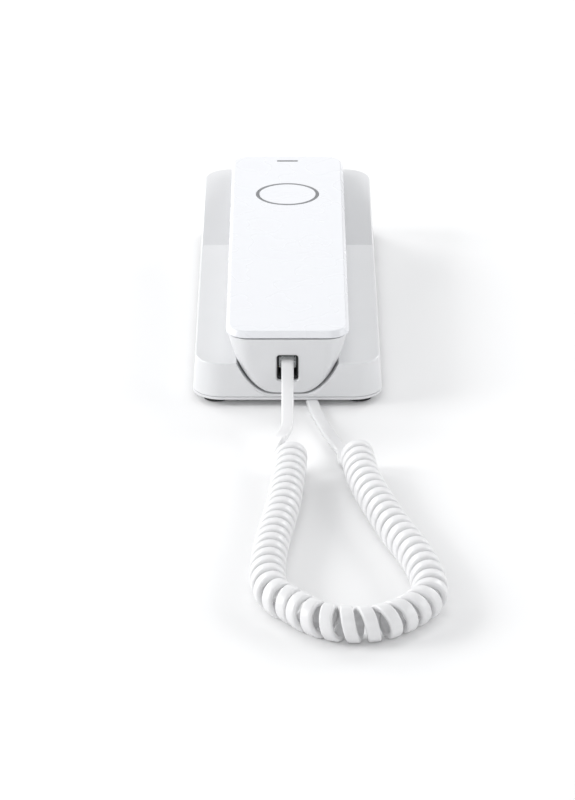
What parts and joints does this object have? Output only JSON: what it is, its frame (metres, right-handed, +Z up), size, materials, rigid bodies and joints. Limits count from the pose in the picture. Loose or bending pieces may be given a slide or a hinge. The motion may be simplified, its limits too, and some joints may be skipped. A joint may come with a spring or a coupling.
{
  "type": "slimline corded telephone",
  "caption": "Slimline corded telephone: long flat handset lying in a wedge-shaped base, with keys under the handset and a curly cord looped in front.",
  "frame": {"origin": "centre of the base's footprint on the table, under the feet", "axes": "+Z up, +Y from the cord end to the earpiece end along the handset, +X to the right seen from the cord end"},
  "size_m": [0.0981, 0.443, 0.0362],
  "materials": {
    "casing": "white moulded plastic, fine satin",
    "lid_gloss": "white plastic, smooth and slightly cool",
    "key_plastic": "satin white",
    "ring_grey": "satin mid grey, flush",
    "lamp_dark": "smoked, flush",
    "cord_white": "soft white vinyl",
    "clear_plastic": "clear polycarbonate",
    "rubber": "dark grey rubber",
    "silicone": "translucent grey silicone",
    "dark_plastic": "black moulded",
    "circuit_board": "green solder mask",
    "steel": "zinc-plated"
  },
  "bodies": {
    "base": {"base_top_shell": "casing", "base_bottom_plate": "casing", "rubber_foot_1": "rubber", "rubber_foot_2": "rubber", "rubber_foot_3": "rubber", "rubber_foot_4": "rubber", "base_screw_1": "steel", "base_screw_2": "steel", "base_screw_3": "steel", "base_screw_4": "steel", "main_board": "circuit_board", "line_jack": "dark_plastic", "cord_jack": "dark_plastic", "hook_switch": "dark_plastic", "hook_spring": "steel", "ringer_buzzer": "dark_plastic", "ballast_left": "steel", "ballast_right": "steel", "retainer_tab": "casing", "cord_handset_lead": "cord_white", "cord_coil": "cord_white", "cord_base_lead": "cord_white", "base_plug": "clear_plastic"},
    "handset": {"handset_lid": "lid_gloss", "handset_lower_shell": "casing", "light_ring": "ring_grey", "call_lamp_window": "lamp_dark", "handset_screw_1": "steel", "handset_screw_2": "steel", "handset_board": "circuit_board", "keypad_mat": "silicone", "earpiece_speaker": "dark_plastic", "microphone": "dark_plastic", "handset_jack": "dark_plastic", "handset_plug": "clear_plastic"},
    "hook_plunger": {"hook_plunger": "casing"},
    "ringer_slider": {"ringer_slider": "dark_plastic"},
    "key_1": {"key_1": "key_plastic"},
    "key_2": {"key_2": "key_plastic"},
    "key_3": {"key_3": "key_plastic"},
    "key_4": {"key_4": "key_plastic"},
    "key_5": {"key_5": "key_plastic"},
    "key_6": {"key_6": "key_plastic"},
    "key_7": {"key_7": "key_plastic"},
    "key_8": {"key_8": "key_plastic"},
    "key_9": {"key_9": "key_plastic"},
    "key_star": {"key_star": "key_plastic"},
    "key_0": {"key_0": "key_plastic"},
    "key_hash": {"key_hash": "key_plastic"},
    "key_redial": {"key_redial": "key_plastic"},
    "key_flash": {"key_flash": "key_plastic"},
    "key_memory": {"key_memory": "key_plastic"},
    "key_mute": {"key_mute": "key_plastic"}
  },
  "joints": [
    {"name": "handset_lift", "type": "slide", "parent": "base", "child": "handset", "axis": [0, 0, 1], "range_m": [0, 0.06]},
    {"name": "hook_plunger_slide", "type": "slide", "parent": "base", "child": "hook_plunger", "axis": [0, 0, 1], "range_m": [0, 0.0026]},
    {"name": "ringer_slide", "type": "slide", "parent": "base", "child": "ringer_slider", "axis": [0, 1, 0], "range_m": [-0.0025, 0.0025]},
    {"name": "key_1_press", "type": "slide", "parent": "handset", "child": "key_1", "axis": [0, -0.0169, 0.9999], "range_m": [0, 0.0008], "stiffness_N_per_m": 600},
    {"name": "key_2_press", "type": "slide", "parent": "handset", "child": "key_2", "axis": [0, -0.0169, 0.9999], "range_m": [0, 0.0008], "stiffness_N_per_m": 600},
    {"name": "key_3_press", "type": "slide", "parent": "handset", "child": "key_3", "axis": [0, -0.0169, 0.9999], "range_m": [0, 0.0008], "stiffness_N_per_m": 600},
    {"name": "key_4_press", "type": "slide", "parent": "handset", "child": "key_4", "axis": [0, -0.0169, 0.9999], "range_m": [0, 0.0008], "stiffness_N_per_m": 600},
    {"name": "key_5_press", "type": "slide", "parent": "handset", "child": "key_5", "axis": [0, -0.0169, 0.9999], "range_m": [0, 0.0008], "stiffness_N_per_m": 600},
    {"name": "key_6_press", "type": "slide", "parent": "handset", "child": "key_6", "axis": [0, -0.0169, 0.9999], "range_m": [0, 0.0008], "stiffness_N_per_m": 600},
    {"name": "key_7_press", "type": "slide", "parent": "handset", "child": "key_7", "axis": [0, -0.0169, 0.9999], "range_m": [0, 0.0008], "stiffness_N_per_m": 600},
    {"name": "key_8_press", "type": "slide", "parent": "handset", "child": "key_8", "axis": [0, -0.0169, 0.9999], "range_m": [0, 0.0008], "stiffness_N_per_m": 600},
    {"name": "key_9_press", "type": "slide", "parent": "handset", "child": "key_9", "axis": [0, -0.0169, 0.9999], "range_m": [0, 0.0008], "stiffness_N_per_m": 600},
    {"name": "key_star_press", "type": "slide", "parent": "handset", "child": "key_star", "axis": [0, -0.0169, 0.9999], "range_m": [0, 0.0008], "stiffness_N_per_m": 600},
    {"name": "key_0_press", "type": "slide", "parent": "handset", "child": "key_0", "axis": [0, -0.0169, 0.9999], "range_m": [0, 0.0008], "stiffness_N_per_m": 600},
    {"name": "key_hash_press", "type": "slide", "parent": "handset", "child": "key_hash", "axis": [0, -0.0169, 0.9999], "range_m": [0, 0.0008], "stiffness_N_per_m": 600},
    {"name": "key_redial_press", "type": "slide", "parent": "handset", "child": "key_redial", "axis": [0, -0.0169, 0.9999], "range_m": [0, 0.0008], "stiffness_N_per_m": 600},
    {"name": "key_flash_press", "type": "slide", "parent": "handset", "child": "key_flash", "axis": [0, -0.0169, 0.9999], "range_m": [0, 0.0008], "stiffness_N_per_m": 600},
    {"name": "key_memory_press", "type": "slide", "parent": "handset", "child": "key_memory", "axis": [0, -0.0169, 0.9999], "range_m": [0, 0.0008], "stiffness_N_per_m": 600},
    {"name": "key_mute_press", "type": "slide", "parent": "handset", "child": "key_mute", "axis": [0, -0.0169, 0.9999], "range_m": [0, 0.0008], "stiffness_N_per_m": 600}
  ],
  "couplings": [
    {"joint": "hook_plunger_slide", "follows": "handset_lift", "ratio": 0.0433}
  ]
}
